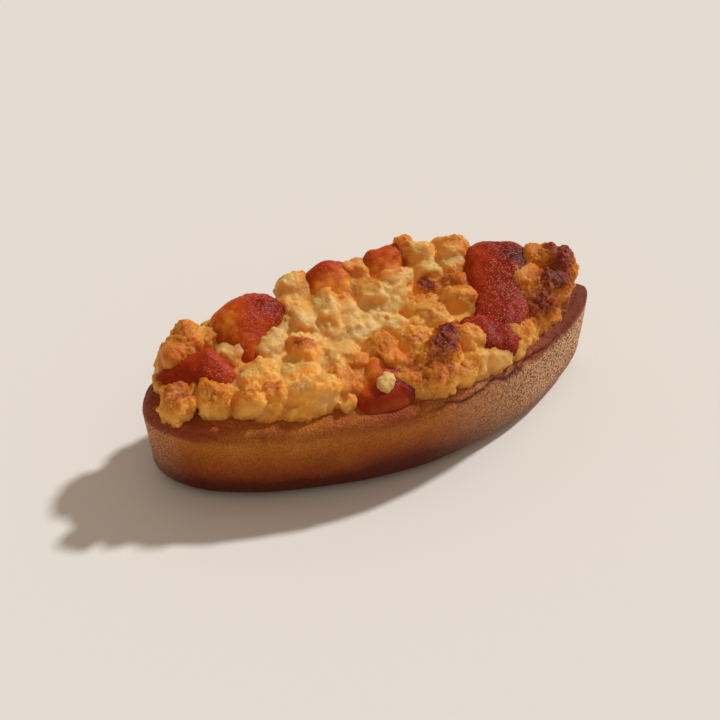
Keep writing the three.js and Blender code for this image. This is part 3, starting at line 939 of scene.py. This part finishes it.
# Pale specks on the browned crumbs: grains of sugar, painted as glints
grain = add(tree, "ShaderNodeTexVoronoi", [("Vector", place), ("Scale", 1 / (SUGAR_DUST * MM))])
sugar_glint_speck = ranged(tree, grain.outputs["Distance"], 0.1, 0.42, 1.0, 0.0)
sugar_and_glint_specks = computed(tree, "MULTIPLY", sugar_glint_speck, ranged(tree, browning, 0.4, 0.8, 0.0, 0.26))
glint_specks_painted = painted(tree, sugar_and_glint_specks, stained, "#D8967A")
gritty = ranged(tree, browning, 0.15, 0.55, 0.3, 1.0)
raised = add(tree, "ShaderNodeBump", [("Strength", gritty), ("Distance", 0.3 * MM), ("Height", sand)])
surface(tree, [
    ("Base Color", glint_specks_painted), ("Roughness", 0.5), ("IOR", 1.45), ("Specular IOR Level", 0.25),
    ("Subsurface Weight", 0.8), ("Subsurface Radius", (1.0, 0.55, 0.28)), ("Subsurface Scale", 3.2 * MM),
    ("Normal", raised.outputs["Normal"])])
crumble.data.materials.clear()
crumble.data.materials.append(rubbed)
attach(crumble, "root")
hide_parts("crumble")

# The apricots
# Pieces of apricot that were pressed into the batter and baked. The flesh has turned orange where it stayed
# moist and dark red where it browned, and fine grains of fruit sugar on the red are drawn with a painted
# sparkle.
LUMP_STEPS = 8
PLAIN_POWER = 2.2
FRUIT_POWER = {"apricot_left_front": 1.6, "apricot_right": 2.8}
LUMPINESS = {"apricot_back_middle": 1.9, "apricot_back_right": 1.7, "apricot_front": 2}
FLESH_LUMPS = [(0.4, 4.5, 61), (0.18, 2, 62)]
FLESH_PATCHES = [(0.12, 3.5, 64), (0.13, 1.2, 65)]
SUGAR_GAP = 0.9
THIN_SHARE = 0.85
THIN_START = 17
THIN_END = 19.8

# Where the fruit is how red: along, across, reach, redness
RED_SPOTS = np.array([
    [-30, 8, 4, 0.2], [-26, 9.5, 2.6, 0.26], [-19.5, 11.5, 4, 0.86], [-22, 8.5, 2.5, 0.88],
    [-25.5, 5.5, 1.8, 0.75], [-21.5, 4.6, 2.2, 0.25], [-24, 14.5, 3, 0.4], [-27.5, 3.5, 2, 0.2],
    [-38, 2, 6, 0.6], [-36, 5, 3, 0.7], [-32, 0.5, 2.5, 0.5],
    [-6, 17, 3, 0.72], [-3, 18, 3, 0.66], [-4, 12.5, 3.5, 0.02],
    [8.5, 12.5, 4, 0.18], [7, 18.5, 3, 0.45], [11, 18.5, 2.5, 0.5],
    [32, 9, 4, 0.9], [26, 9, 3, 0.55], [25, 4, 3, 0.5], [24, -1, 2.5, 0.55], [30, 1, 4, 0.78],
    [28, -4, 4, 0.78], [25, -9, 4, 0.82], [22, -12, 3, 0.78], [20, -7, 3, 0.78], [34.5, 4.2, 2, 1.25],
    [-7, -12.5, 3.5, 0.14], [-4, -11.5, 3, 0.16], [-5.5, -17.5, 3, 0.85], [0.5, -16, 3, 0.95],
    [-2, -14.5, 2, 0.7],
])
# Where grains of sugar stand up and carry a painted sparkle: along, across, reach, strength
SPARKLE_SPOTS = np.array([
    [-19.5, 11, 3.5, 1.0], [-22, 8.5, 2.5, 1.0], [-25.5, 5.5, 2, 0.9], [-29, 9, 4, 0.1], [-22, 4.5, 2, 0.1],
    [-26, 10, 2, 0.3], [-34, 0, 2.2, 0.9], [-37, 3, 3, 0.1],
    [-6.5, 16, 3, 0.2], [-2.5, 16.5, 3, 0.65], [6, 16, 3, 0.2], [10.5, 16, 3, 0.7],
    [32, 5, 5, 0.9], [29, 0, 4, 1.0], [26.5, -5, 4, 1.0], [23, -11, 4, 0.8],
    [20, -8, 3, 0.8], [25, 8, 3, 0.1], [24, 0, 2, 0.1], [-2.5, -14.5, 2.5, 0.9], [-7, -17, 4, 0.1],
])

# Baked apricot: soft flesh that lets in a little light, mottled from orange to dark red, with grains of sugar
# whose glints are painted as pale pink specks.
# Real grains of sugar are finer, and these are drawn as coarse as they need to show.
SUGAR_GRAIN = 0.38
FLESH_MOTTLE = 1.2
flesh, tree = new_material("baked_apricot")
place = add(tree, "ShaderNodeTexCoord").outputs["Object"]
mottle = computed(tree, "MULTIPLY_ADD", noise(tree, place, FLESH_MOTTLE, 3.0), 0.2, -0.1)
tone = computed(tree, "ADD", attribute(tree, "redness"), mottle, clamped=True)
fruit = ramped(tree, tone, [
    (0.0, "#EE9A30"), (1.0, "#4A1006"), (0.3, "#BE4C0A"), (0.6, "#A43006"), (0.8, "#8E2006"),
    (0.94, "#7A1806")])
grain = add(tree, "ShaderNodeTexVoronoi", [("Vector", place), ("Scale", 1 / (SUGAR_GRAIN * MM))])
chance = add(tree, "ShaderNodeSeparateColor", [("Color", grain.outputs["Color"])]).outputs[0]
sugar_glint_speck = ranged(tree, grain.outputs["Distance"], 0.12, 0.5, 1.0, 0.0)
sugar_glint_speck = computed(tree, "MULTIPLY", sugar_glint_speck, attribute(tree, "sparkle"))
sugar_glint_speck = computed(tree, "MULTIPLY", sugar_glint_speck, chance)
# Painted sparkle: pale pink specks laid over the red where grains of sugar glint
sparkle_painted = painted(tree, sugar_glint_speck, fruit, "#DE8E78")
thinned = painted(tree, attribute(tree, "thin"), sparkle_painted, "#A0421C")
raised = add(tree, "ShaderNodeBump", [("Strength", 0.6), ("Distance", 0.12 * MM), ("Height", sugar_glint_speck)])
surface(tree, [
    ("Base Color", thinned), ("Roughness", 0.5), ("IOR", 1.4), ("Specular IOR Level", 0.12),
    ("Subsurface Weight", 0.4), ("Subsurface Radius", (1.0, 0.3, 0.1)), ("Subsurface Scale", 1.2 * MM),
    ("Normal", raised.outputs["Normal"])])


def spotted(points, spots):
    """A value at each point, blended from spots by a bell curve of their distance in plan, in reaches."""
    away = np.linalg.norm(points[:, None, :2] - spots[None, :, :2], axis=-1) / spots[None, :, 2]
    weight = np.exp(-0.8 * away ** 2) + 1e-9
    return (weight * spots[None, :, 3]).sum(1) / weight.sum(1)


# A piece is its lumps with more of them blended in between, as one skin. Its flesh is thin at the front edge.
for node, rows in APRICOTS.items():
    steps = np.linspace(0, len(rows) - 1, LUMP_STEPS * (len(rows) - 1) + 1)
    columns = [np.interp(steps, np.arange(len(rows)), column) for column in np.array(rows).T]
    along, across, top, length, width, turn = columns
    middles = np.column_stack([along, across, (top + RIM_HEIGHT) / 2])
    halves = np.column_stack([length / 2, width / 2, (top - RIM_HEIGHT) / 2])
    angles = np.column_stack([0 * turn, 0 * turn, turn])
    power = FRUIT_POWER.get(node, PLAIN_POWER)
    lumps = blocks(middles, halves, angles, power, waver=0.02, seed=61, rows=30, columns=44)
    piece = fused(node + "_flesh", *lumps, voxel=0.3, rounds=20)
    points, normals = skin_of(piece)
    red = spotted(points, RED_SPOTS)
    red = red + (1 - 0.6 * red) * noise_layers(points, FLESH_PATCHES)
    sparkling = np.clip(spotted(points, SPARKLE_SPOTS) + 0.3 * soft_noise(points, 2.0, 67), 0, 1)
    sugar = 0.12 * soft_noise(points, 0.8, 63) + 0.1 - 0.2 * grain_distance(points, SUGAR_GAP, 66)
    pulp = LUMPINESS.get(node, 1) * noise_layers(points, FLESH_LUMPS) + sparkling * sugar
    thin = smooth(-points[:, 1] + 0.8 * soft_noise(points, 2.5, 68), THIN_START, THIN_END)
    move_skin(piece, points + normals * pulp[:, None])
    put_value(piece, "sparkle", sparkling)
    put_value(piece, "redness", np.clip(red, 0, 1))
    put_value(piece, "thin", THIN_SHARE * thin)
    piece.data.materials.clear()
    piece.data.materials.append(flesh)
    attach(piece, "root")
    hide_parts(node)

# The stuck crumb
# A crumb of the butter crumble that lies on the front piece of apricot. It was shaded there and stayed pale,
# and the juice of the fruit has baked it on.
STUCK_CENTRE = [-4.5, -15.6, 22.3]
STUCK_RADII = [2.2, 2.2, 1.9]
STUCK_ANGLES = [0.0, 0.0, 20.0]
STUCK_KNOB = 1.1
stuck_body = np.array([[STUCK_CENTRE], [STUCK_RADII], [STUCK_ANGLES]])
stuck = fused("stuck_crumb", *blocks(*stuck_body, power=3.0, waver=0.3, seed=71), voxel=0.2, rounds=2)
stuck_points, stuck_normals = skin_of(stuck)
stuck_relief = 0.3 - 0.5 * grain_distance(stuck_points, STUCK_KNOB, 72)
move_skin(stuck, stuck_points + stuck_normals * stuck_relief[:, None])
put_value(stuck, "browning", 0.1 + 0.1 * soft_noise(stuck_points, 1.5, 73))
put_value(stuck, "juice", np.zeros(len(stuck_points)))
# The stuck crumb gets none of the painted glow
put_value(stuck, "painted_glow_in_shade", np.zeros(len(stuck_points)))
stuck.data.materials.clear()
stuck.data.materials.append(rubbed)
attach(stuck, "root")
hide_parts("apricot_front")

# The floor, the light and the camera
# A pale matt table, one soft-edged key light from the sharp end and a little behind, and an even warm fill.
# Sizes and places are in metres here, angles in degrees, and the tints are shares of red, green and blue.
FLOOR_SIZE = 3.0
KEY_TURN = 15
KEY_RISE = 43
KEY_SPREAD = 4.5
KEY_STRENGTH = 2.75
KEY_TINT = (0.94, 1.0, 1.04)
FILL_STRENGTH = 0.4
FILL_TINT = (1.0, 0.85, 0.71, 1.0)
CAMERA_TURN = -23
CAMERA_RISE = 40
CAMERA_AWAY = 0.3765
CAMERA_AIM = Vector((0.0042, 0.01785, 0))
CAMERA_VIEW = 24
CAMERA_NEAR = 0.01


def direction(turn, rise):
    """The way to a place turned from +X towards +Y and raised above the floor, in degrees: products of the
    cosines and sines of the two angles."""
    turn, rise = np.radians([turn, rise])
    return Vector((np.cos(turn) * np.cos(rise), np.sin(turn) * np.cos(rise), np.sin(rise)))


floor_corners = np.array([[-1, -1, 0], [1, -1, 0], [1, 1, 0], [-1, 1, 0]]) * (FLOOR_SIZE / 2 / MM)
floor = put_mesh("floor", floor_corners, [(0, 1, 2, 3)])

# Pale matt table: an even off-white without gloss, so that only the shadow shows on it.
table_top, tree = new_material("pale_matt_table")
surface(tree, [("Base Color", colour("#E9E2DA")), ("Roughness", 1.0), ("Specular IOR Level", 0.0)])
floor.data.materials.append(table_top)

key = bpy.data.lights.new("key", "SUN")
key.angle = np.radians(KEY_SPREAD)
key.energy = KEY_STRENGTH
key.color = KEY_TINT
key_lamp = bpy.data.objects.new("key", key)
key_lamp.rotation_euler = direction(KEY_TURN, KEY_RISE).to_track_quat("Z", "Y").to_euler()
bpy.context.scene.collection.objects.link(key_lamp)

world = bpy.data.worlds.new("fill")
world.use_nodes = True
fill = world.node_tree.nodes["Background"].inputs
fill["Color"].default_value = FILL_TINT
fill["Strength"].default_value = FILL_STRENGTH
bpy.context.scene.world = world

camera = bpy.data.cameras.new("camera")
camera.angle = np.radians(CAMERA_VIEW)
camera.clip_start = CAMERA_NEAR
viewer = bpy.data.objects.new("camera", camera)
view_way = direction(CAMERA_TURN - 90, CAMERA_RISE)
viewer.location = CAMERA_AIM + view_way * CAMERA_AWAY
viewer.rotation_euler = view_way.to_track_quat("Z", "Y").to_euler()
bpy.context.scene.collection.objects.link(viewer)
bpy.context.scene.camera = viewer
bpy.context.scene.view_settings.view_transform = "Standard"
